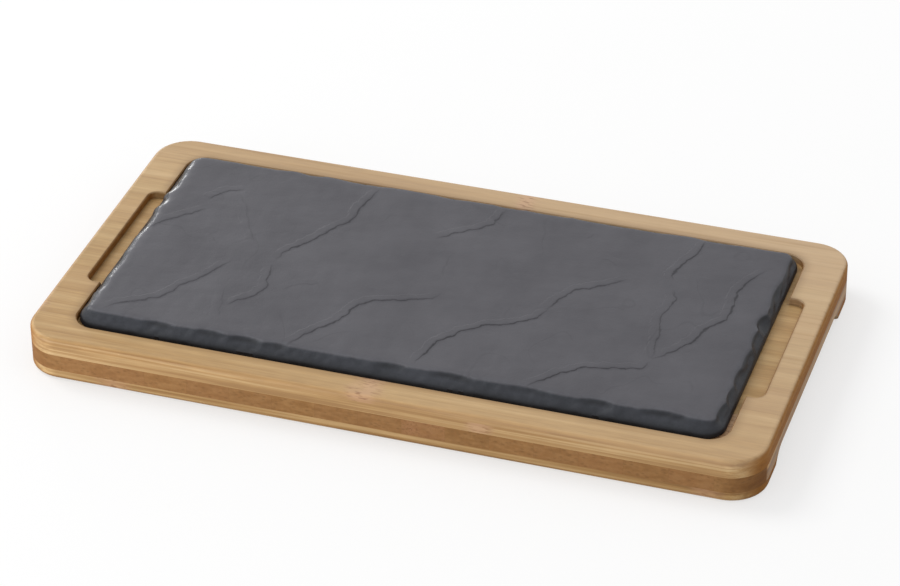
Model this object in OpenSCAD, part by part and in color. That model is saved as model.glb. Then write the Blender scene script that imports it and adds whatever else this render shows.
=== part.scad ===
// Bamboo serving tray: a board glued up from bamboo strips in four layers, with a
// routed pocket that holds a loose slate-effect plate.
// Millimetres, +Z up. The origin is the middle of the underside, the long side
// runs along X and the front of the tray faces -Y.

/* [Slate plate] */
// Length of the plate at its widest
plate_l = 299; // [220:1:400]
// Width of the plate at its widest
plate_w = 149; // [120:1:220]
// Thickness of the plate
plate_t = 7.8; // [6:0.1:14]
// Corner radius of the plate at its widest
plate_r = 10; // [8.5:0.5:16]
// How far the chipped bevel leans in from the side to the top face
bevel_run = 5.5; // [3:0.25:6]
// Height of the upright side below the bevel
side_h = 2.75; // [2:0.25:4.5]
// Depth of the deepest chip in the bevel
chip_depth = 1.6; // [0:0.1:2.4]
// Length of one chip along the edge
chip_pitch = 19; // [12:1:40]
// Chamfer round the plate's underside
foot_chamfer = 0.8; // [0.4:0.1:1.5]

/* [Pocket] */
// Gap between the plate and the pocket's wall, all round
plate_clear = 1.5; // [0.5:0.25:4]
// How far the loose plate lies towards the back left, as a share of its gap
plate_push = 0.8; // [0:0.05:0.85]
// Chamfer that eases the pocket's upper edge
rim_ease = 0.5; // [0.2:0.1:1]
// How far each finger notch reaches past the end of the pocket
notch_reach = 7.5; // [5:0.25:9]
// Width of a finger notch
notch_w = 80; // [50:1:100]
// Corner radius of a finger notch
notch_r = 4.5; // [2:0.25:5]

/* [Board] */
// Rim from the pocket to each short end
end_rim = 19; // [15:0.5:40]
// Rim from the pocket to each long side
side_rim = 14; // [10:0.5:18]
// Corner radius of the board, seen from above
corner_r = 17; // [12:0.5:30]
// Rounding of the board's upper and lower edges
edge_r = 2; // [1:0.25:3.5]

/* [Layers] */
// Thickness of the bottom layer
bottom_t = 4.8; // [4:0.1:8]
// Thickness of the core, whose strips run across the board
core_t = 7.8; // [5:0.1:12]
// Thickness of the second layer, the floor of the pocket
second_t = 5; // [2.5:0.1:7]
// Thickness of the top layer, which is also the pocket's depth
top_t = 3.4; // [3:0.1:6]
// Strips side by side in each layer that runs along the board
strips = 9; // [7:2:11]
// Strips side by side in the core
core_strips = 17; // [11:1:17]

/* [Finger grips] */
// Height of the grip's mouth in the end face
grip_h = 7.3; // [5:0.1:9]
// Radius of the ball-nosed cutter that makes the grip
grip_r = 12; // [10:0.5:16]
// How far the cutter travels along the end
grip_run = 99; // [60:1:110]

/* [Hidden] */
$fn = 64;
over = 1;

pocket_l = plate_l + 2 * plate_clear;
pocket_w = plate_w + 2 * plate_clear;
// The pocket is as round as the plate, so that the plate can lie right in a corner of it
pocket_r = plate_r;
board_l = pocket_l + 2 * end_rim;
board_w = pocket_w + 2 * side_rim;

core_z = bottom_t;
second_z = core_z + core_t;
top_z = second_z + second_t;
board_t = top_z + top_t;

inner_strips = strips - 2;

// Cuts between n strips that fill a span, with the outer cuts past the board
function cuts(n, span) =
    [for (i = [0:n]) -span / 2 + i * span / n + (i == 0 ? -over : i == n ? over : 0)];
long_cuts = cuts(strips, board_w);
core_cuts = cuts(core_strips, board_l);

// Colours of the bamboo and of the slate
face_colour = [0.74, 0.63, 0.48];
core_colour = [0.54, 0.40, 0.26];
slate_colour = [0.36, 0.36, 0.38];
// Strips differ by up to this share of their colour, and no two neighbours are alike.
// The layers start from different strips, so that no strip has its own colour above it.
tone_swing = 0.06;
tone_turn = 137;
second_start = 2;
top_start = 4;
function strip_tone(colour, i) = colour * (1 - tone_swing + tone_swing * cos(i * tone_turn));

// Walk round the plate: points on the corner arcs, then points along each side
arc_steps = 7;
facet_len = 5;
arc_x = plate_l / 2 - plate_r;
arc_y = plate_w / 2 - plate_r;
arc_centres = [[arc_x, arc_y], [-arc_x, arc_y], [-arc_x, -arc_y], [arc_x, -arc_y]];
function outward(a) = [cos(a), sin(a)];
function arc_point(k, a) = arc_centres[k % 4] + plate_r * outward(a);
function side_steps(k) = ceil((k % 2 == 0 ? 2 * arc_x : 2 * arc_y) / facet_len);
function side_point(k, f) = arc_point(k, 90 * (k + 1)) * (1 - f) + arc_point(k + 1, 90 * (k + 1)) * f;
// Each station is [point on the widest outline, direction that faces outwards]
stations = [
    for (k = [0:3]) each concat(
        [for (j = [0:arc_steps]) let (a = 90 * (k + j / arc_steps)) [arc_point(k, a), outward(a)]],
        [for (j = [1:side_steps(k) - 1]) [side_point(k, j / side_steps(k)), outward(90 * (k + 1))]]
    )
];

// Bites that meet at sharp cusps, from 0 at a cusp to 1. The smallest bite is a share of the largest,
// their size swings by chip_turn degrees from one to the next, and chip_skew puts the bites of
// the short ends out of step with those of the long sides.
chip_least = 0.35;
chip_turn = 67;
chip_start = 40;
chip_skew = 1.31;
function chip(p) =
    let (u = (p.x - chip_skew * p.y) / chip_pitch)
    abs(sin(180 * u)) * (chip_least + (1 - chip_least) * abs(sin(chip_turn * u + chip_start)));

// Section of the plate's side, from the underside up: the foot, the upright side with a little
// draft, the hollow of the bevel, the worn brow and the top face
side_draft = 0.3;
hollow_h = side_h + 0.45 * (plate_t - side_h);
hollow_lean = 0.4 * bevel_run;
brow_h = plate_t - 0.7;
brow_lean = 0.85 * bevel_run;
// Each ring is [height, lean, share of the chip]
side_rings = [
    [0, foot_chamfer, 0],
    [foot_chamfer, 0, 0],
    [side_h, side_draft, 0.1],
    [hollow_h, hollow_lean, 0.75],
    [brow_h, brow_lean, 0.9],
    [plate_t, bevel_run, 1]
];
function ring(r) = [
    for (s = stations)
        let (p = s[0] - s[1] * (r[1] + r[2] * chip_depth * chip(s[0])))
        [p.x, p.y, r[0]]
];

// Middle of a block l by w with round corners: a band as long as the block.
// The children are the section of the block's edge, drawn from the corner's centre.
module band(l, w, r, z0, z1) {
    rotate([90, 0, 0])
        linear_extrude(w - 2 * r, center = true) {
            for (side = [0, 1])
                mirror([side, 0])
                    translate([l / 2 - r, 0])
                        children();
            translate([r - l / 2, z0])
                square([l - 2 * r, z1 - z0]);
        }
}

// Back of the same block: the edge along its long side, with a quarter turn at each corner
module long_side(l, w, r) {
    translate([0, w / 2 - r, 0]) {
        rotate([90, 0, 90])
            linear_extrude(l - 2 * r, center = true)
                children();
        for (left = [0, 1])
            mirror([left, 0, 0])
                translate([l / 2 - r, 0, 0])
                    rotate_extrude(angle = 90)
                        children();
    }
}

// Edge of the board: upright, with its upper and lower corners rounded
module board_edge() {
    difference() {
        square([corner_r, board_t]);
        for (flip = [0, 1])
            translate([corner_r - edge_r, flip ? edge_r : board_t - edge_r])
                mirror([0, flip])
                    difference() {
                        square(edge_r + over);
                        circle(edge_r);
                    }
    }
}

// Edge of the pocket's cutter: upright, with a flare that eases the pocket's upper edge
module pocket_edge(r) {
    polygon([
        [0, top_z - over],
        [r, top_z - over],
        [r, board_t - rim_ease],
        [r + rim_ease + over, board_t + over],
        [0, board_t + over]
    ]);
}

// Cutters of the two finger grips: a ball-nosed cutter's path along each end of the board
module grip_cuts() {
    for (left = [0, 1])
        mirror([left, 0, 0])
            translate([board_l / 2, 0, grip_h - grip_r]) {
                rotate([90, 0, 0])
                    cylinder(h = grip_run, r = grip_r, center = true);
                for (y = [-grip_run / 2, grip_run / 2])
                    translate([0, y, 0])
                        sphere(grip_r);
            }
}

// Cutter with round corners and an upright edge, down to the floor of the pocket
module routed_block(l, w, r) {
    band(l, w, r, top_z - over, board_t + over)
        pocket_edge(r);
    for (front = [0, 1])
        mirror([0, front, 0])
            long_side(l, w, r)
                pocket_edge(r);
}

// Cutter of the pocket and its two finger notches
module pocket_cut() {
    routed_block(pocket_l, pocket_w, pocket_r);
    routed_block(pocket_l + 2 * notch_reach, notch_w, notch_r);
}

// What lies between two corners of a box
module clip(low, high) {
    intersection() {
        children();
        translate(low)
            cube(high - low);
    }
}

// The board's rounded block between two corners, with a long side only where it reaches one
module slice(low, high) {
    straight = board_w / 2 - corner_r;
    clip(low, high)
        band(board_l, board_w, corner_r, 0, board_t)
            board_edge();
    for (front = [0, 1])
        if (front ? low.y < -straight : high.y > straight)
            clip(low, high)
                mirror([0, front, 0])
                    long_side(board_l, board_w, corner_r)
                        board_edge();
}

// Strip i of a layer that runs along the board, from x0 to x1 and from z0 to z1
module long_strip(i, x0, x1, z0, z1) {
    slice([x0, long_cuts[i - 1], z0], [x1, long_cuts[i], z1]);
}

// Strip i of the top layer, from x0 to x1, routed by the pocket
module top_strip(i, x0, x1) {
    color(strip_tone(face_colour, i + top_start))
        difference() {
            long_strip(i, x0, x1, top_z, board_t + over);
            pocket_cut();
        }
}

module top_rail_front() {
    top_strip(1, -board_l, board_l);
}

module top_rail_back() {
    top_strip(strips, -board_l, board_l);
}

module top_left(i) {
    top_strip(i + 1, -board_l, 0);
}

module top_right(i) {
    top_strip(i + 1, 0, board_l);
}

module second(i) {
    color(strip_tone(face_colour, i + second_start))
        long_strip(i, -board_l, board_l, second_z, top_z);
}

module core(i) {
    color(strip_tone(core_colour, i))
        difference() {
            slice([core_cuts[i - 1], -board_w, core_z], [core_cuts[i], board_w, second_z]);
            grip_cuts();
        }
}

module bottom(i) {
    color(strip_tone(face_colour, i))
        difference() {
            long_strip(i, -board_l, board_l, -over, core_z);
            grip_cuts();
        }
}

// Plate with an upright side and a bevel that is chipped all round like split slate.
// Its faces are fans from the middle, and its walls join each ring to the next.
// It lies loose on the pocket's floor, pushed towards the back left.
module slate_plate() {
    n = len(stations);
    points = concat(
        [for (r = side_rings) each ring(r)],
        [[0, 0, 0], [0, 0, plate_t]]
    );
    top_ring = (len(side_rings) - 1) * n;
    low_middle = len(points) - 2;
    top_middle = len(points) - 1;
    walls = [
        for (k = [0:len(side_rings) - 2], i = [0:n - 1])
            let (a = k * n + i, b = k * n + (i + 1) % n)
            each [[a, b + n, b], [a, a + n, b + n]]
    ];
    underside = [for (i = [0:n - 1]) [low_middle, i, (i + 1) % n]];
    top_face = [for (i = [0:n - 1]) [top_middle, top_ring + (i + 1) % n, top_ring + i]];
    push = plate_push * plate_clear;
    color(slate_colour)
        translate([-push, push, top_z])
            polyhedron(points, concat(walls, underside, top_face));
}

slate_plate();
top_rail_front();
top_rail_back();
for (i = [1:inner_strips]) {
    top_left(i);
    top_right(i);
}
for (i = [1:strips]) {
    second(i);
    bottom(i);
}
for (i = [1:core_strips])
    core(i);
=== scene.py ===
import math

import bpy
import numpy as np
from mathutils import Matrix, Vector


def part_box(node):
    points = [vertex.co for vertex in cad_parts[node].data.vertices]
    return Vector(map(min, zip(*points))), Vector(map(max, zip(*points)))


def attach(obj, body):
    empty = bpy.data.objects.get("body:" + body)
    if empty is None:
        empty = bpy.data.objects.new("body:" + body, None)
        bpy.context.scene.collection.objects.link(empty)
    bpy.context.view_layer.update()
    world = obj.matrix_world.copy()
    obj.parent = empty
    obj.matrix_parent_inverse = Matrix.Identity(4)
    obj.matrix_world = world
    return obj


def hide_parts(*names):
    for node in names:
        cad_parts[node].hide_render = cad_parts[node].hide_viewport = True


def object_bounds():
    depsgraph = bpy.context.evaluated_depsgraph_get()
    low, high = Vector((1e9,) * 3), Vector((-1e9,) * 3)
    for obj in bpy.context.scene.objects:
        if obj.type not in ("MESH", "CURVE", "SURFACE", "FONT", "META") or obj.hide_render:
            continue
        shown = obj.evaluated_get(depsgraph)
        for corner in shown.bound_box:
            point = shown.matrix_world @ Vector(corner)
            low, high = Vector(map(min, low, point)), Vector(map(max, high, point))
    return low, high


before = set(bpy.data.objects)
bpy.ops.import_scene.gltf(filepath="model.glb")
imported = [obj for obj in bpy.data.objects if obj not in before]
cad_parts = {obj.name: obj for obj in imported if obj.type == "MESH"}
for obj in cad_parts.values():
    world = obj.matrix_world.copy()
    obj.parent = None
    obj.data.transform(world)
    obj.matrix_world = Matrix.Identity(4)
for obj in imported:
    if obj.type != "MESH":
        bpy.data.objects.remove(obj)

cad_low, cad_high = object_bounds()


# Bottom layer of the board: nine strips of bamboo, sawn from the wall of the stalk,
# steamed to a caramel tone, planed and glued edge to edge along the board.
# It is glued up under the core, and the two finger grips are routed into its ends.
mm = 0.001
strips = 9
strip_w = (cad_high.y - cad_low.y) / strips


def linear(hex_colour):
    """Linear red, green, blue and alpha of an sRGB colour written as #RRGGBB."""
    srgb = np.array([int(hex_colour[k:k + 2], 16) for k in (1, 3, 5)]) / 255
    low, high = srgb / 12.92, ((srgb + 0.055) / 1.055) ** 2.4
    return (*np.where(srgb <= 0.04045, low, high).tolist(), 1.0)


def add(tree, kind, inputs=(), **settings):
    """Adds a shader node, sets its settings, fills its inputs in order and gives its outputs.
    An input is a socket to link, a value to set, or None to leave as it is."""
    node = tree.nodes.new("ShaderNode" + kind)
    for name, value in settings.items():
        setattr(node, name, value)
    pairs = inputs.items() if isinstance(inputs, dict) else enumerate(inputs)
    for key, value in pairs:
        if isinstance(value, bpy.types.NodeSocket):
            tree.links.new(value, node.inputs[key])
        elif value is not None:
            node.inputs[key].default_value = value
    return node.outputs


def off_outline(tree, spot, half_x, half_y, radius):
    """How far a place lies outside a rectangle with round corners, and negative within its border:
    the length of what is past the corner's centre both ways, less the radius."""
    place = add(tree, "VectorMath", [spot], operation="ABSOLUTE")[0]
    place = add(tree, "VectorMath", [place, (1, 1, 0)], operation="MULTIPLY")[0]
    inner = (half_x - radius, half_y - radius, 0)
    past = add(tree, "VectorMath", [place, inner], operation="SUBTRACT")[0]
    past = add(tree, "VectorMath", [past, (0, 0, 0)], operation="MAXIMUM")[0]
    past = add(tree, "VectorMath", [past], operation="LENGTH")["Value"]
    return add(tree, "Math", [past, radius], operation="SUBTRACT")[0]


def bamboo(name, runs_along, width, count, first_knuckle, seed, sawn_tone, sawn_from, sawn_full,
           side_shade_tone="#FFFFFF", painted_sheen_most=0.0, floor_of=None, rims=()):
    """Steamed bamboo, planed, sanded and oiled: a satin face with fine straight fibres.
    The fibres are one solid pattern, long with the strip and finer through it than across it. So they
    are soft on its flat faces, clear streaks on its edges and dots on its sawn ends, which drink more
    oil and turn darker. A layer that is the floor of an outline gets a line of painted shade at the foot
    of its wall. Each rim is an outline routed through the layer, with the reach and the strength of its
    dark border of painted shadow and shade."""
    fibre_size = Vector((48, 0.75, 0.75)) * mm
    band_size = Vector((150, 6.5, 1.9)) * mm
    bundle_size = Vector((95, 3.2, 1.5)) * mm
    fleck_size = Vector((5, 1.1, 1.1)) * mm
    mottle_size = Vector((10, 1.9, 1.9)) * mm
    stalk_stretch = 3000 * mm
    knuckle_pitch, knuckle_step = 270 * mm, 104 * mm
    knuckle_half, knuckle_wander, wander_size = 10 * mm, 12 * mm, 25 / 3 * mm
    glue_half = 0.2 * mm
    corner_shade_reach, wall_slack, corner_shade_beyond = 1.5 * mm, 0.2 * mm, 150 * mm
    rim_fall = 2.2
    sheen_slope, sheen_full_at, sheen_none_at = (6.5, 12.0, 0), 1.9, -1.7
    bump_depth = 0.10 * mm
    material = bpy.data.materials.new(name)
    material.use_nodes = True
    tree = material.node_tree
    tree.nodes.clear()
    spot = add(tree, "TexCoord")["Object"]
    x, y, z = add(tree, "SeparateXYZ", [spot])
    along, across = (x, y) if runs_along == "X" else (y, x)

    # The number of the strip, drawn in a hair so that the board's own sides stay inside the outer strips
    drawn_in, off_whole = 0.9995, 0.37
    strip_place = add(tree, "Math", [across, drawn_in / width, count / 2], operation="MULTIPLY_ADD")[0]
    strip = add(tree, "Math", [strip_place], operation="FLOOR")[0]
    strip_seed = add(tree, "Math", [strip, off_whole + seed], operation="ADD")[0]
    chance = add(tree, "TexWhiteNoise", {"W": strip_seed}, noise_dimensions="1D")["Color"]
    chance_light, chance_shift, chance_hue = add(tree, "SeparateColor", [chance])

    # Sawn ends turn dark where the fibres leave the surface, and stay face grain where they run with it
    normal = add(tree, "SeparateXYZ", [add(tree, "NewGeometry")["Normal"]])
    facing = add(tree, "Math", [normal["X" if runs_along == "X" else "Y"]], operation="ABSOLUTE")[0]
    sawn = [facing, sawn_from, sawn_full, 0.0, 1.0]
    sawn = add(tree, "MapRange", sawn, interpolation_type="SMOOTHSTEP")[0]
    flat = add(tree, "Math", [normal["Z"]], operation="ABSOLUTE")[0]
    band_share = add(tree, "MapRange", [flat, 0.3, 0.9, 3.0, 1.0])[0]
    fibre_share = add(tree, "MapRange", [flat, 0.3, 0.9, 1.0, 0.7])[0]
    edge = add(tree, "Math", [normal["Y" if runs_along == "X" else "X"]], operation="ABSOLUTE")[0]

    # Fibres, broad growth bands and the dark bundles of vessels, each strip from its own stretch of stalk
    shifted = add(tree, "Math", [chance_shift, stalk_stretch, along], operation="MULTIPLY_ADD")[0]
    stalk = add(tree, "CombineXYZ", [shifted, across, z])[0]
    fibre_spot, band_spot, bundle_spot, fleck_spot, mottle_spot = (
        add(tree, "VectorMath", [stalk, size], operation="DIVIDE")[0]
        for size in (fibre_size, band_size, bundle_size, fleck_size, mottle_size)
    )
    fibre = {"Vector": fibre_spot, "Scale": 1.0, "Detail": 2.5, "Roughness": 0.6}
    fibre = add(tree, "TexNoise", fibre)["Fac"]
    band = add(tree, "TexNoise", {"Vector": band_spot, "Scale": 1.0, "Detail": 2.0})["Fac"]
    vessel = {"Vector": bundle_spot, "Scale": 1.0, "Randomness": 1.0}
    vessel = add(tree, "TexVoronoi", vessel)["Distance"]
    bundle = add(tree, "MapRange", [vessel, 0.08, 0.40, 1.0, 0.0], interpolation_type="SMOOTHSTEP")[0]
    band = add(tree, "Math", [band, 0.5], operation="SUBTRACT")[0]
    thread = add(tree, "Math", [fibre, 0.5], operation="SUBTRACT")[0]
    thread = add(tree, "Math", [thread, fibre_share, 0.5], operation="MULTIPLY_ADD")[0]
    grain = add(tree, "Math", [band, band_share, thread], operation="MULTIPLY_ADD")[0]
    shade = add(tree, "MapRange", [grain, 0.05, 0.95, 0.0, 1.0])[0]
    calm = add(tree, "Math", [sawn, 0.7], operation="MULTIPLY")[0]
    shade = add(tree, "Mix", {"Factor": calm, 2: shade, 3: 0.5}, data_type="FLOAT")[0]
    tone = add(tree, "ValToRGB", [shade])[0]
    ramp = tone.node.color_ramp
    ramp.elements[0].color = linear("#906E40")
    ramp.elements[1].color = linear("#CBAE7F")
    ramp.elements.new(0.40).color = linear("#AB8957")
    ramp.elements.new(0.65).color = linear("#B79766")

    # A knuckle crosses each strip where the stalk had a joint: paler and pinker, with dark flecks
    to_knuckle = add(tree, "Math", [strip, -knuckle_step, along], operation="MULTIPLY_ADD")[0]
    wander = add(tree, "TexNoise", {"Vector": spot, "Scale": 1 / wander_size, "Detail": 2.0})["Fac"]
    to_knuckle = add(tree, "Math", [wander, knuckle_wander, to_knuckle], operation="MULTIPLY_ADD")[0]
    knuckle_at = first_knuckle + knuckle_wander / 2
    to_knuckle = add(tree, "Math", [to_knuckle, knuckle_at], operation="SUBTRACT")[0]
    half_pitch = knuckle_pitch / 2
    to_knuckle = add(tree, "Math", [to_knuckle, half_pitch, -half_pitch], operation="WRAP")[0]
    off_knuckle = add(tree, "Math", [to_knuckle], operation="ABSOLUTE")[0]
    knuckle = [off_knuckle, 0.0, knuckle_half, 1.0, 0.0]
    knuckle = add(tree, "MapRange", knuckle, interpolation_type="SMOOTHSTEP")[0]
    speck = add(tree, "TexNoise", {"Vector": fleck_spot, "Scale": 1.0, "Detail": 2.0})["Fac"]
    fleck = add(tree, "MapRange", [speck, 0.52, 0.66, 0.0, 1.0], interpolation_type="SMOOTHSTEP")[0]
    fleck = add(tree, "Math", [fleck, knuckle], operation="MULTIPLY")[0]

    # Open vessels in the sawn ends, the glue lines, and a painted sheen
    # that makes a layer paler towards its back right
    pores = add(tree, "Math", [bundle, sawn], operation="MULTIPLY")[0]
    seam = add(tree, "Math", [strip_place, 0.5], operation="PINGPONG")[0]
    glue = add(tree, "MapRange", [seam, 0.0, glue_half / width, 1.0, 0.0])[0]
    painted_sheen = add(tree, "VectorMath", [spot, sheen_slope], operation="DOT_PRODUCT")["Value"]
    painted_sheen = add(tree, "MapRange", [painted_sheen, sheen_none_at, sheen_full_at, 0.0, 1.0])[0]
    strip_light = add(tree, "MapRange", [chance_light, 0.0, 1.0, 0.97, 1.05])[0]
    mottle = add(tree, "TexNoise", {"Vector": mottle_spot, "Scale": 1.0, "Detail": 2.0})["Fac"]
    mottle = add(tree, "MapRange", [mottle, 0.3, 0.7, 0.93, 1.07])[0]
    light = add(tree, "Math", [strip_light, mottle], operation="MULTIPLY")[0]
    colour = add(tree, "HueSaturation", {"Value": light, "Color": tone})[0]
    layers = [
        (chance_hue, "MIX", "#B98F6C", 0.18),
        (painted_sheen, "MIX", "#CDB599", painted_sheen_most),
        (bundle, "MIX", "#8F6A3B", 0.20),
        (knuckle, "MIX", "#C9A184", 0.50),
        (fleck, "MIX", "#74492A", 0.65),
        (glue, "MIX", "#8E6B42", 0.30),
        (sawn, "MULTIPLY", sawn_tone, 1.0),
        # Painted shade: faces turned across the strips are darkened by this tone
        (edge, "MULTIPLY", side_shade_tone, 1.0),
        (pores, "MIX", "#5A3D22", 0.22),
    ]
    # Painted shade: a dark line on the floor at the foot of the outline's wall, only out at the notches
    if floor_of:
        off_wall = off_outline(tree, spot, *floor_of)
        corner_shade = [off_wall, -corner_shade_reach, 0.0, 0.0, 1.0]
        corner_shade = add(tree, "MapRange", corner_shade, interpolation_type="SMOOTHSTEP")[0]
        within = add(tree, "Math", [off_wall, wall_slack], operation="LESS_THAN")[0]
        corner_shade = add(tree, "Math", [corner_shade, within], operation="MULTIPLY")[0]
        out_along = add(tree, "Math", [x], operation="ABSOLUTE")[0]
        beyond = add(tree, "Math", [out_along, corner_shade_beyond], operation="GREATER_THAN")[0]
        corner_shade = add(tree, "Math", [corner_shade, beyond], operation="MULTIPLY")[0]
        layers.append((corner_shade, "MIX", "#553A1C", 0.50))
    # Painted shadow and shade: a dark border on the flat faces just outside each outline
    for outline, reach, most in rims:
        off_rim = off_outline(tree, spot, *outline)
        rim = add(tree, "MapRange", [off_rim, 0.0, reach, 1.0, 0.0])[0]
        rim = add(tree, "Math", [rim, rim_fall], operation="POWER")[0]
        rim = add(tree, "Math", [rim, flat], operation="MULTIPLY")[0]
        layers.append((rim, "MIX", "#5A3B1C", most))
    for share, blend, hex_colour, most in layers:
        amount = add(tree, "Math", [share, most], operation="MULTIPLY")[0]
        mix = {"Factor": amount, 6: colour, 7: linear(hex_colour)}
        colour = add(tree, "Mix", mix, data_type="RGBA", blend_type=blend)[2]

    # The bundles and flecks lie a little low, and the sawn ends are duller than the planed faces
    height = add(tree, "Math", [bundle, -0.5, fibre], operation="MULTIPLY_ADD")[0]
    height = add(tree, "Math", [fleck, -0.4, height], operation="MULTIPLY_ADD")[0]
    bump = add(tree, "Bump", {"Strength": 0.30, "Distance": bump_depth, "Height": height})[0]
    rough = add(tree, "MapRange", [fibre, 0.3, 0.7, 0.42, 0.56])[0]
    rough = add(tree, "Math", [sawn, 0.35, rough], operation="MULTIPLY_ADD")[0]
    inputs = {"Base Color": colour, "Roughness": rough, "IOR": 1.38, "Normal": bump}
    shader = add(tree, "BsdfPrincipled", inputs)[0]
    add(tree, "OutputMaterial", [shader])
    return material


def finish_strips(start, material):
    """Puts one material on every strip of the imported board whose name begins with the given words."""
    for name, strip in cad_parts.items():
        if name.startswith(start):
            for slot in strip.material_slots:
                slot.material = material


# Tone of a strip's sawn end, and how far a surface faces along the strip where it starts and is full
face_ends = ("#CAA66A", 0.35, 0.95)
bottom_bamboo = bamboo("bamboo_bottom", "X", strip_w, strips, -125 * mm, 11, *face_ends,
                       side_shade_tone="#EAE2D8")
finish_strips("bottom_", bottom_bamboo)


# Core: seventeen strips of the same bamboo, glued across the board so that it can't warp.
# Their sawn ends are the dark band along the front and the back, and at the corners
# the rounding turns them back into face grain.
core_strips = 17
core_w = (cad_high.x - cad_low.x) / core_strips
core_ends = ("#C6B2A2", 0.12, 0.24)
core_bamboo = bamboo("bamboo_core", "Y", core_w, core_strips, 60 * mm, 31, *core_ends,
                     side_shade_tone="#DCC8AC")
finish_strips("core_", core_bamboo)


# Second layer: nine strips along the board, planed flush. The router stops on it,
# so it is the floor of the pocket, under the plate and in the two finger notches.
# A dark line of painted shade lies at the foot of the notches' walls.
notch_outline = (158.5 * mm, 40 * mm, 4.5 * mm)
second_bamboo = bamboo("bamboo_second", "X", strip_w, strips, 45 * mm, 53, *face_ends,
                       floor_of=notch_outline)
finish_strips("second_", second_bamboo)


# Top layer: nine strips along the board, routed right through by the pocket, which leaves a
# whole rail at the front and the back and short blocks at the two ends. The edges are eased
# with a round cutter, then the whole board is sanded and oiled. Its colour holds a painted shadow
# round the pocket, painted shade round the notches and a painted sheen towards its back right.
pocket_outline = (151 * mm, 76 * mm, 10 * mm)
painted_rim_shade = [(pocket_outline, 6 * mm, 0.45), (notch_outline, 1.8 * mm, 0.60)]
top_bamboo = bamboo("bamboo_top", "X", strip_w, strips, -8 * mm, 75, *face_ends,
                    side_shade_tone="#F5F0EA", painted_sheen_most=0.5, rims=painted_rim_shade)
finish_strips("top_", top_bamboo)


# Slate-effect plate: one slab of dark ceramic, pressed in a mould taken from split slate and fired
# without glaze. Its top has the clefts of the stone, its edge is knapped all round, and it lies
# loose in the pocket, to be lifted out by its ends.
plate_low, plate_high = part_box("slate_plate")
plate_mid = (plate_low + plate_high) / 2
plate_half = (plate_high - plate_low) / 2
plate_r = 10 * mm
bevel_run = 5.5 * mm
side_h = 2.75 * mm
side_top = plate_low.z + side_h
foot_chamfer = 0.8 * mm
# The bevel is steeper at the two ends, where its run is this share of the run along the sides
left_bevel, right_bevel = 0.82, 0.52
grid_step = 0.72 * mm
rim_steps = 5
bevel_rings = 8

# Clefts of the split face, from the back to the front: depth of the step, then places in millimetres.
# The face drops on the front right of each one.
clefts = [
    (0.30, [(-114, 48), (-121, 45), (-126, 39), (-127, 34)]),
    (0.28, [(-125, 27), (-130, 22), (-139, 12), (-146, 3)]),
    (0.10, [(-116, 45), (-109, 36), (-105, 27), (-98, 14), (-93, 4)]),
    (0.08, [(-116, 8), (-113, 4), (-109, 0)]),
    (0.32, [(-98, -10), (-99, -14), (-106, -28), (-113, -37), (-117, -47), (-125, -54), (-135, -60),
            (-139, -66)]),
    (0.42, [(-53, 68), (-57, 49), (-57, 38), (-63, 29), (-70, 14), (-77, 4), (-79, -6)]),
    (0.34, [(-79, -9), (-77, -21), (-75, -28), (-78, -36), (-88, -46)]),
    (0.10, [(-53, -18), (-62, -21), (-68, -28)]),
    (0.09, [(-93, -34), (-90, -45), (-87, -57)]),
    (0.36, [(9, 68), (7, 54), (1, 47), (-8, 41), (-15, 34)]),
    (0.08, [(-4, 22), (-3, 10), (-2, 4)]),
    (0.44, [(2, -9), (-1, -14), (-14, -19), (-28, -25), (-32, -32), (-35, -43), (-46, -58), (-51, -69)]),
    (0.40, [(79, 27), (70, 19), (59, 12), (53, 0), (51, -8)]),
    (0.50, [(52, -6), (49, -15), (40, -22), (29, -27), (20, -35), (12, -46), (8, -66)]),
    (0.44, [(105, 69), (104, 59), (100, 48), (97, 38), (99, 32)]),
    (0.34, [(100, 26), (104, 18), (101, 2), (104, -11), (106, -30)]),
    (0.46, [(138, 54), (132, 43), (129, 33), (130, 9), (122, -2), (120, -12), (113, -23), (106, -32)]),
    (0.50, [(106, -33), (104, -39), (94, -42), (80, -46), (71, -53), (64, -62), (59, -68)]),
    (0.10, [(72, 36), (66, 40), (62, 40)]),
    (0.09, [(54, 60), (52, 54)]),
]
deepest_cleft = 0.50
# Distance that is given to a place with no cleft nearer
cleft_far = 4 * mm
# Bites knapped out of the front edge: middle, half length and depth, in millimetres
front_bites = [
    (-111, 8, 1.2), (-87, 7, 1.0), (-70, 8, 1.5), (-55, 6, 0.9), (-2, 8, 1.0),
    (26, 11, 1.4), (60, 12, 0.7), (92, 8, 1.3), (122, 11, 1.5),
]
# Bites knapped out of the right edge, from the back to the front
right_bites = [
    (63, 9, 0.5), (36, 11, 1.1), (12, 7, 2.6), (-1, 8, 1.4), (-19, 9, 1.0), (-32, 9, 1.5),
    (-46, 9, 1.1), (-62, 11, 2.0),
]


def waves(x, y, shortest, longest, seed):
    """Rolling field between about -1 and 1: a dozen sine waves that cross at seeded angles,
    with lengths between the two given."""
    count = 12
    draw = np.random.default_rng(seed)
    turn = draw.uniform(0, math.pi, count)
    length = draw.uniform(shortest, longest, count)
    phase = draw.uniform(0, 2 * math.pi, count)
    path = x[..., None] * np.cos(turn) + y[..., None] * np.sin(turn)
    return np.sin(2 * math.pi * path / length + phase).sum(-1) / 4


def grid_lines(half, radius):
    """Lines of a grid across the plate: even steps between the corner centres, then a few out to the rim.
    Gives each line's place, held at the corner centre, and its signed share of the way on to the rim."""
    inner = np.linspace(-1, 1, round(2 * (half - radius) / grid_step) + 1) * (half - radius)
    share = np.linspace(0, 1, rim_steps + 1)[1:]
    place = np.pad(inner, rim_steps, mode="edge")
    return place, np.concatenate([-share[::-1], np.zeros(len(inner)), share])


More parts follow.
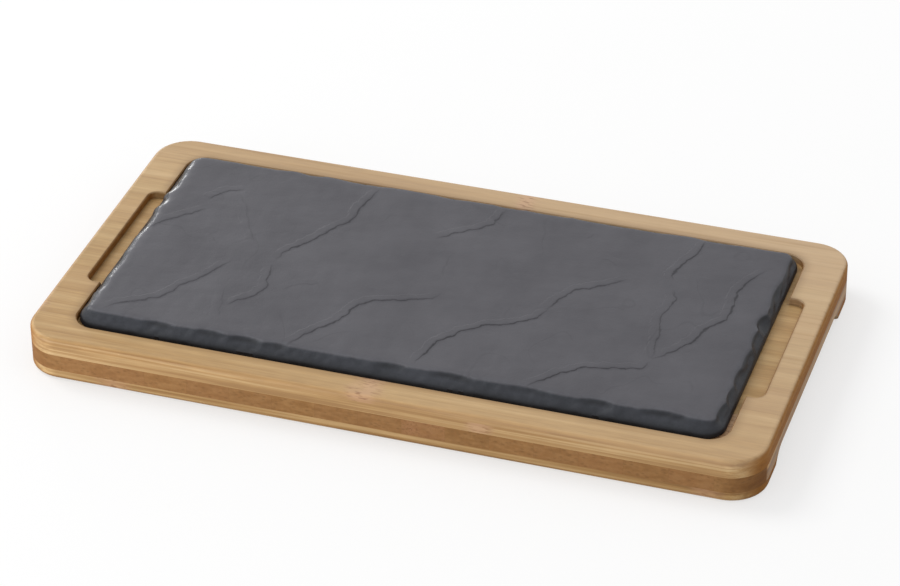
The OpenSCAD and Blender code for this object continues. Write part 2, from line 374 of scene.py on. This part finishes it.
def off_line(x, y, points):
    """Signed distance from a line of straight pieces, positive on its left, and how far along it
    the nearest place lies, from 0 at its start to 1 at its end."""
    start = np.array(points[:-1], float) * mm
    run = np.array(points[1:], float) * mm - start
    length = np.hypot(run[:, 0], run[:, 1])
    dx, dy = x[..., None] - start[:, 0], y[..., None] - start[:, 1]
    share = np.clip((dx * run[:, 0] + dy * run[:, 1]) / length ** 2, 0, 1)
    gap = np.hypot(dx - share * run[:, 0], dy - share * run[:, 1])
    side = np.sign(run[:, 0] * dy - run[:, 1] * dx)
    nearest = gap.argmin(-1)[..., None]
    walked = (np.concatenate([[0], np.cumsum(length)[:-1]]) + share * length) / length.sum()
    return [np.take_along_axis(a, nearest, -1)[..., 0] for a in (gap * side, walked)]


def split_face(x, y):
    """Height of the split face over its level, the signed distance from the nearest cleft in millimetres,
    and how strong that cleft is there. The height is soft swells, and at each cleft a step that drops and
    climbs back over some millimetres. A cleft fades out at both ends and wavers from its traced line."""
    swell, ripple, sunk, waver = 0.20 * mm, 0.04 * mm, 0.25 * mm, 0.4 * mm
    step_width, climb_reach, lip_reach = 2.2 * mm, 11 * mm, 5 * mm
    drop_share, lip_share, end_fade = 0.7, 0.12, 0.14
    height = swell * waves(x, y, 32 * mm, 95 * mm, 5) - sunk
    height += ripple * waves(x, y, 7 * mm, 16 * mm, 6)
    wx = x + waver * waves(x, y, 5 * mm, 13 * mm, 7)
    wy = y + waver * waves(x, y, 5 * mm, 13 * mm, 8)
    nearest = np.full_like(x, cleft_far)
    strength = np.zeros_like(x)
    for depth, points in clefts:
        gap, walked = off_line(wx, wy, points)
        fade = np.clip(np.minimum(walked, 1 - walked) / end_fade, 0, 1)
        front = np.clip(gap / step_width + 0.5, 0, 1)
        front = front ** 2 * (3 - 2 * front)
        drop = drop_share * depth * mm * fade
        height -= drop * front * np.exp(-np.abs(gap) / climb_reach)
        height += lip_share * drop * (1 - front) * np.exp(-np.abs(gap) / lip_reach)
        closer = np.abs(gap) < np.abs(nearest)
        nearest = np.where(closer, gap, nearest)
        strength = np.where(closer, fade * depth / deepest_cleft, strength)
    return height, nearest / mm, strength


def hollows(place, middle, half, depth):
    """Depth of a row of shallow round bites along the edge: each is a parabola, deepest in its middle,
    and where two of them meet, the deeper one leaves a cusp."""
    return (depth * np.clip(1 - ((place[..., None] - middle) / half) ** 2, 0, None)).max(-1)


def bites(x, y):
    """Depth bitten out of the edge at a place on the plate's outline. The bites along the front
    and the right are listed, and the others are seeded along a walk that never stands
    still round the plate."""
    count, walk_slope, walk_end = 36, 1.31, 245
    turn_from, turn_over = 9 * mm, 6 * mm
    draw = np.random.default_rng(21)
    walk = x - walk_slope * y
    middle = (np.linspace(-walk_end, walk_end, count) + draw.uniform(-5, 5, count)) * mm
    half = draw.uniform(7, 17, count) * mm
    depth = draw.uniform(0.2, 1.4, count) * mm
    round_about = hollows(walk, middle, half, depth)
    front = hollows(x, *(np.array(column) * mm for column in zip(*front_bites)))
    right = hollows(y, *(np.array(column) * mm for column in zip(*right_bites)))
    on_front = np.clip((plate_low.y + turn_from - y) / turn_over, 0, 1)
    on_right = np.clip((x - plate_high.x + turn_from) / turn_over, 0, 1) * (1 - on_front)
    return round_about * (1 - on_front - on_right) + front * on_front + right * on_right


def slate_mesh():
    """The plate as one closed skin. Its top is a grid whose outer lines bend round the corners, where a
    square of side 1 becomes a quarter disc. From the grid's border, rings step down the chipped bevel,
    which is rounder on the left, the upright side and the foot, and a fan closes the underside."""
    droop, overhang, chip_rough, rough_drift = 0.3 * mm, 0.3 * mm, 0.28 * mm, 9 * mm
    bevel_curve, left_round, scoop_curve, rough_swell = 0.85, 0.37, 2.2, 0.7
    px, tx = grid_lines(plate_half.x, plate_r)
    py, ty = grid_lines(plate_half.y, plate_r)
    (cx, cy), (tx, ty) = np.meshgrid(plate_mid.x + px, plate_mid.y + py), np.meshgrid(tx, ty)
    ex, ey = tx * np.sqrt(1 - ty ** 2 / 2), ty * np.sqrt(1 - tx ** 2 / 2)
    reach = np.hypot(ex, ey)
    unit = np.maximum(reach, 1e-9)
    bite = bites(cx + plate_r * ex / unit, cy + plate_r * ey / unit)
    run = bevel_run * (1 - (1 - np.where(ex < 0, left_bevel, right_bevel)) * (ex / unit) ** 2)
    radius = plate_r - run - bite
    x, y = cx + radius * ex, cy + radius * ey
    height, gap, strength = split_face(x, y)
    z = plate_high.z + height - droop * reach ** 4
    top = np.stack([x, y, z], -1).reshape(-1, 3)

    index = np.arange(x.size).reshape(x.shape)
    border = np.concatenate([index[0, :-1], index[:-1, -1], index[-1, :0:-1], index[:0:-1, 0]])
    bx, by, bex, bey, b_run, b_bite, b_z = (a.ravel()[border] for a in (cx, cy, ex, ey, run, bite, z))
    fall = np.linspace(0, 1, bevel_rings + 1)[1:, None]
    drift = fall * rough_drift
    rough = chip_rough * waves(bx + drift, by + drift, 5 * mm, 14 * mm, 9)
    b_left = np.clip(-bex / np.hypot(bex, bey), 0, 1) ** 2
    lean = b_run * (1 - fall ** (bevel_curve - left_round * b_left)) + overhang * fall
    scoop = b_bite * (1 - fall ** scoop_curve)
    inset = lean + scoop + rough * np.sin(math.pi * fall) ** rough_swell
    bevel_z = b_z + (side_top - b_z) * fall
    foot = np.array([[0.0, foot_chamfer], [foot_chamfer, 0.0]])
    inset = np.concatenate([inset, np.broadcast_to(foot[:, :1], (2, len(border)))])
    ring_z = np.concatenate([bevel_z, np.broadcast_to(plate_low.z + foot[:, 1:], (2, len(border)))])
    rings = np.stack([bx + (plate_r - inset) * bex, by + (plate_r - inset) * bey, ring_z], -1)

    ring_index = x.size + np.arange(inset.size).reshape(inset.shape)
    loops = np.concatenate([border[None], ring_index])
    after = np.roll(loops, -1, axis=1)
    walls = np.stack([loops[:-1], loops[1:], after[1:], after[:-1]], -1).reshape(-1, 4)
    faces = np.stack([index[:-1, :-1], index[:-1, 1:], index[1:, 1:], index[1:, :-1]], -1).reshape(-1, 4)
    middle = x.size + inset.size
    fan = np.stack([np.full(len(border), middle), after[-1], loops[-1]], -1)
    points = np.concatenate([top, rings.reshape(-1, 3), [[plate_mid.x, plate_mid.y, plate_low.z]]])
    mesh = bpy.data.meshes.new("slate_effect_plate")
    mesh.from_pydata(points.tolist(), [], faces.tolist() + walls.tolist() + fan.tolist())
    mesh.shade_smooth()
    mesh.set_sharp_from_angle(angle=math.radians(50))

    # What the material reads: the arris at the top of the bevel, the scars under it where a flake came off,
    # the left edge that hands have rubbed smooth, the clefts, and where the split face is
    foot_none = np.zeros((2, len(border)))
    edge = np.clip(1 - np.abs(reach - 1) / 0.6, 0, 1)
    ring_edge = np.concatenate([np.clip(1 - fall / 0.25, 0, 1) + foot_none[:1], foot_none])
    scar = np.clip(b_bite / (1.2 * mm), 0, 1) * np.clip(1 - np.abs(fall - 0.22) / 0.26, 0, 1)
    scar = np.concatenate([scar, foot_none])
    to_left = np.clip((-ex / unit - 0.5) / 0.4, 0, 1)
    rubbed = to_left * np.clip((reach - 0.8) / 0.2, 0, 1)
    ring_rubbed = np.clip((1.1 - fall) / 0.2, 0, 1) * to_left.ravel()[border]
    ring_rubbed = np.concatenate([ring_rubbed, foot_none])
    below = inset.size + 1
    values = {
        "scar": np.concatenate([np.zeros(x.size), scar.ravel(), [0]]),
        "rubbed": np.concatenate([rubbed.ravel(), ring_rubbed.ravel(), [0]]),
        "cleft_gap": np.concatenate([gap.ravel(), np.full(below, cleft_far / mm)]),
        "cleft_strength": np.concatenate([strength.ravel(), np.zeros(below)]),
        "arris": np.concatenate([edge.ravel(), ring_edge.ravel(), [0]]),
        "split": np.concatenate([np.ones(x.size), np.zeros(below)]),
    }
    for name, value in values.items():
        mesh.attributes.new(name, "FLOAT", "POINT").data.foreach_set("value", value.astype(np.float32))
    return mesh


def slate_ceramic():
    """Unglazed dark stoneware with the face of slate: matt to satin, a fine grit all over, faint clouds
    and wrinkles, and a dark line of painted shade in each cleft. The knapped edge is darker, in part as
    painted shade, above all in its scars, and has painted shade low down and a faintly paler arris of
    wear and painted highlight. On the left it is rubbed smooth in streaks, which shine."""
    cloud_size, patch_size, swell_size = 26 * mm, 34 * mm, 30 * mm
    fleck_size, grit_size, ragged_size = 2.6 * mm, 0.9 * mm, 3.2 * mm
    streak_size = Vector((1.3, 8, 1.3)) * mm
    foot_shade_from, foot_shade_full = side_top + 2.0 * mm, side_top - 0.5 * mm
    rubbed_from, rubbed_full = side_top + 1.2 * mm, side_top + 2.6 * mm
    step_depth, grit_depth = 0.14 * mm, 0.10 * mm
    material = bpy.data.materials.new("slate_effect_stoneware")
    material.use_nodes = True
    tree = material.node_tree
    tree.nodes.clear()
    spot = add(tree, "TexCoord")["Object"]
    gap, strength, arris, split, rubbed, scar = (
        add(tree, "Attribute", attribute_name=name)["Fac"]
        for name in ("cleft_gap", "cleft_strength", "arris", "split", "rubbed", "scar")
    )
    cloud = add(tree, "TexNoise", {"Vector": spot, "Scale": 1 / cloud_size, "Detail": 3.0})["Fac"]
    patch = add(tree, "TexNoise", {"Vector": spot, "Scale": 1 / patch_size, "Detail": 1.0})["Fac"]
    swell = {"Vector": spot, "Scale": 1 / swell_size, "Detail": 1.0, "Distortion": 0.2}
    swell = add(tree, "TexNoise", swell)["Fac"]
    fleck = add(tree, "TexNoise", {"Vector": spot, "Scale": 1 / fleck_size, "Detail": 3.0})["Fac"]
    grit = add(tree, "TexNoise", {"Vector": spot, "Scale": 1 / grit_size, "Detail": 2.0})["Fac"]

    # Each cleft is a thin dark line of painted shade at the foot of a small step, worked out from the
    # distance to it
    ragged = add(tree, "TexNoise", {"Vector": spot, "Scale": 1 / ragged_size, "Detail": 2.0})["Fac"]
    ragged = add(tree, "MapRange", [ragged, 0.0, 1.0, -1.0, 1.0])[0]
    gap = add(tree, "Math", [ragged, 0.9, gap], operation="MULTIPLY_ADD")[0]
    off = add(tree, "Math", [gap], operation="ABSOLUTE")[0]
    reach = add(tree, "MapRange", [fleck, 0.35, 0.65, 0.25, 0.85])[0]
    cleft_shade = add(tree, "MapRange", [off, 0.05, reach, 1.0, 0.0], interpolation_type="SMOOTHSTEP")[0]
    cleft_shade = add(tree, "Math", [cleft_shade, strength], operation="MULTIPLY")[0]
    step = add(tree, "MapRange", [gap, -0.45, 0.35, 1.0, 0.0], interpolation_type="SMOOTHSTEP")[0]
    step = add(tree, "Math", [step, strength], operation="MULTIPLY")[0]

    # Wrinkles are contour lines of a rolling field, and show only in patches
    off_level = add(tree, "Math", [swell, 0.5], operation="SUBTRACT")[0]
    off_level = add(tree, "Math", [off_level], operation="ABSOLUTE")[0]
    wrinkle = [off_level, 0.0, 0.016, 1.0, 0.0]
    wrinkle = add(tree, "MapRange", wrinkle, interpolation_type="SMOOTHSTEP")[0]
    shown = add(tree, "MapRange", [patch, 0.50, 0.62, 0.0, 1.0], interpolation_type="SMOOTHSTEP")[0]
    wrinkle = add(tree, "Math", [wrinkle, shown], operation="MULTIPLY")[0]
    wrinkle = add(tree, "Math", [wrinkle, split], operation="MULTIPLY")[0]

    # Colour of the face over that of the edge, whose darker tone is in part painted shade, then wear with a
    # painted highlight, wrinkles, the painted shade of the clefts, scars and the painted shade of the foot
    height_up = add(tree, "SeparateXYZ", [spot])["Z"]
    # Painted shade: the edge darkens towards its foot, from above the upright side down
    sunk = add(tree, "MapRange", [height_up, foot_shade_from, foot_shade_full, 0.0, 1.0])[0]
    tone = add(tree, "Math", [fleck, 0.5, cloud], operation="MULTIPLY_ADD")[0]
    shade = add(tree, "MapRange", [tone, 0.55, 0.95, 0.0, 1.0])[0]
    face = {"Factor": shade, 6: linear("#4C4B50"), 7: linear("#555459")}
    face = add(tree, "Mix", face, data_type="RGBA")[2]
    # The edge's darker colour is in part painted shade
    side = {"Factor": shade, 6: linear("#282A2F"), 7: linear("#35373D")}
    colour = add(tree, "Mix", side, data_type="RGBA")[2]
    # Wear and painted highlight: a paler arris, broken by the flecks
    wear_and_highlight = add(tree, "MapRange", [fleck, 0.35, 0.65, 0.1, 1.0])[0]
    wear_and_highlight = add(tree, "Math", [wear_and_highlight, arris], operation="MULTIPLY")[0]
    layers = [
        (split, face, 1.0),
        (wear_and_highlight, linear("#5A6068"), 0.14),
        (wrinkle, linear("#26272A"), 0.11),
        (cleft_shade, linear("#1B1C1E"), 0.60),
        (scar, linear("#141518"), 0.75),
        (sunk, linear("#101113"), 0.60),
    ]
    for share, over, most in layers:
        amount = add(tree, "Math", [share, most], operation="MULTIPLY")[0]
        colour = add(tree, "Mix", {"Factor": amount, 6: colour, 7: over}, data_type="RGBA")[2]

    # The smooth streaks run along the left edge, on the upper part of its bevel
    streak = add(tree, "VectorMath", [spot, streak_size], operation="DIVIDE")[0]
    streak = add(tree, "TexNoise", {"Vector": streak, "Scale": 1.0, "Detail": 3.0})["Fac"]
    smooth = add(tree, "MapRange", [streak, 0.40, 0.55, 0.0, 1.0], interpolation_type="SMOOTHSTEP")[0]
    smooth = add(tree, "Math", [smooth, rubbed], operation="MULTIPLY")[0]
    upper = add(tree, "MapRange", [height_up, rubbed_from, rubbed_full, 0.0, 1.0])[0]
    smooth = add(tree, "Math", [smooth, upper], operation="MULTIPLY")[0]
    rough = add(tree, "MapRange", [fleck, 0.3, 0.7, 0.36, 0.50])[0]
    rough = add(tree, "Math", [split, 0.10, rough], operation="MULTIPLY_ADD")[0]
    rough = add(tree, "Mix", {"Factor": smooth, 2: rough, 3: 0.18}, data_type="FLOAT")[0]

    stepped = add(tree, "Bump", {"Strength": 1.0, "Distance": step_depth, "Height": step})[0]
    height = add(tree, "Math", [fleck, 2.0, grit], operation="MULTIPLY_ADD")[0]
    height = add(tree, "Math", [wrinkle, -0.5, height], operation="MULTIPLY_ADD")[0]
    bump = {"Strength": 0.5, "Distance": grit_depth, "Height": height, "Normal": stepped}
    bump = add(tree, "Bump", bump)[0]
    inputs = {"Base Color": colour, "Roughness": rough, "IOR": 1.32, "Normal": bump}
    shader = add(tree, "BsdfPrincipled", inputs)[0]
    add(tree, "OutputMaterial", [shader])
    return material


plate = bpy.data.objects.new("slate_effect_plate", slate_mesh())
bpy.context.scene.collection.objects.link(plate)
plate.data.materials.append(slate_ceramic())
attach(plate, "plate")
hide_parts("slate_plate")


# Stage: a wide white sweep that the tray stands on. The lens sees it nearly white with a soft shadow,
# and it throws back less light than that, as a table under flags does.
floor_half = 12.0
floor_glow = 0.6
floor_thrown, floor_seen = linear("#DCDCDC"), linear("#F8F8F8")
floor_mesh = bpy.data.meshes.new("floor")
corners = floor_half * np.array([[-1, -1, 0], [1, -1, 0], [1, 1, 0], [-1, 1, 0]])
floor_mesh.from_pydata(corners.tolist(), [], [[0, 1, 2, 3]])
floor = bpy.data.objects.new("floor", floor_mesh)
bpy.context.scene.collection.objects.link(floor)
paper = bpy.data.materials.new("white_paper_sweep")
paper.use_nodes = True
tree = paper.node_tree
tree.nodes.clear()
rays = add(tree, "LightPath")
thrown = add(tree, "BsdfDiffuse", {"Color": floor_thrown})[0]
shaded = add(tree, "BsdfDiffuse", {"Color": floor_seen})[0]
glow = add(tree, "Emission", {"Color": linear("#FFFFFF"), "Strength": 1.0})[0]
seen = add(tree, "MixShader", [floor_glow, shaded, glow])[0]
shiny = add(tree, "Math", [rays["Is Camera Ray"], rays["Is Glossy Ray"]], operation="MAXIMUM")[0]
clear = add(tree, "Math", [shiny, rays["Is Transmission Ray"]], operation="MAXIMUM")[0]
add(tree, "OutputMaterial", [add(tree, "MixShader", [clear, thrown, seen])[0]])
floor_mesh.materials.append(paper)


# Light: an even white room, and a large soft box above the left that gives the top its level and lays the
# plate's shadow to the right. A low strip at the front left lights the edge of the board, and a small box
# low behind the left glints on the smooth streaks of the plate's edge.
room_level, room_white = 0.74, 1.0
world = bpy.data.worlds.new("white_room")
bpy.context.scene.world = world
world.use_nodes = True
tree = world.node_tree
tree.nodes.clear()
rays = add(tree, "LightPath")
room_light = add(tree, "Background", {"Color": linear("#FFFFFF"), "Strength": room_level})[0]
room_seen = add(tree, "Background", {"Color": linear("#FFFFFF"), "Strength": room_white})[0]
shiny = add(tree, "Math", [rays["Is Camera Ray"], rays["Is Glossy Ray"]], operation="MAXIMUM")[0]
clear = add(tree, "Math", [shiny, rays["Is Transmission Ray"]], operation="MAXIMUM")[0]
add(tree, "OutputWorld", [add(tree, "MixShader", [clear, room_light, room_seen])[0]])


def soft_box(name, come_from, distance, width, height, watts):
    """A lamp at a distance from the tray's origin, turned towards it."""
    light = bpy.data.lights.new(name, "AREA")
    light.shape = "RECTANGLE"
    light.size, light.size_y = width, height
    light.energy = watts
    lamp = bpy.data.objects.new(name, light)
    towards = Vector(come_from).normalized()
    lamp.location = towards * distance
    lamp.rotation_euler = towards.to_track_quat("Z", "Y").to_euler()
    bpy.context.scene.collection.objects.link(lamp)


soft_box("soft_box_above", (-0.70, 0.20, 0.69), distance=4.0, width=1.8, height=1.8, watts=66)
soft_box("strip_box_front", (-0.62, -0.77, 0.03), distance=0.9, width=0.6, height=0.05, watts=4.4)
soft_box("rim_box_back", (-0.565, 0.81, 0.165), distance=2.5, width=0.42, height=0.45, watts=5.4)


# Camera: a long lens from the front right, fitted to the board's outline in the photograph.
azimuth = math.radians(18.39)
elevation = math.radians(33.46)
roll = math.radians(-0.59)
distance = 1.644
focal_length, film_width = 144.2, 36
aim_right, aim_up = 2.8 * mm, 16.1 * mm
back = Vector((
    math.sin(azimuth) * math.cos(elevation),
    -math.cos(azimuth) * math.cos(elevation),
    math.sin(elevation),
))
level = Vector((math.cos(azimuth), math.sin(azimuth), 0))
raised = back.cross(level)
right = math.cos(roll) * level + math.sin(roll) * raised
up = math.cos(roll) * raised - math.sin(roll) * level
lens = bpy.data.cameras.new("camera")
lens.sensor_width = film_width
lens.lens = focal_length
camera = bpy.data.objects.new("camera", lens)
turn = Matrix((right, up, back)).transposed().to_4x4()
camera.matrix_world = Matrix.Translation(distance * back + aim_right * right + aim_up * up) @ turn
bpy.context.scene.collection.objects.link(camera)
bpy.context.scene.camera = camera
bpy.context.scene.view_settings.view_transform = "Standard"
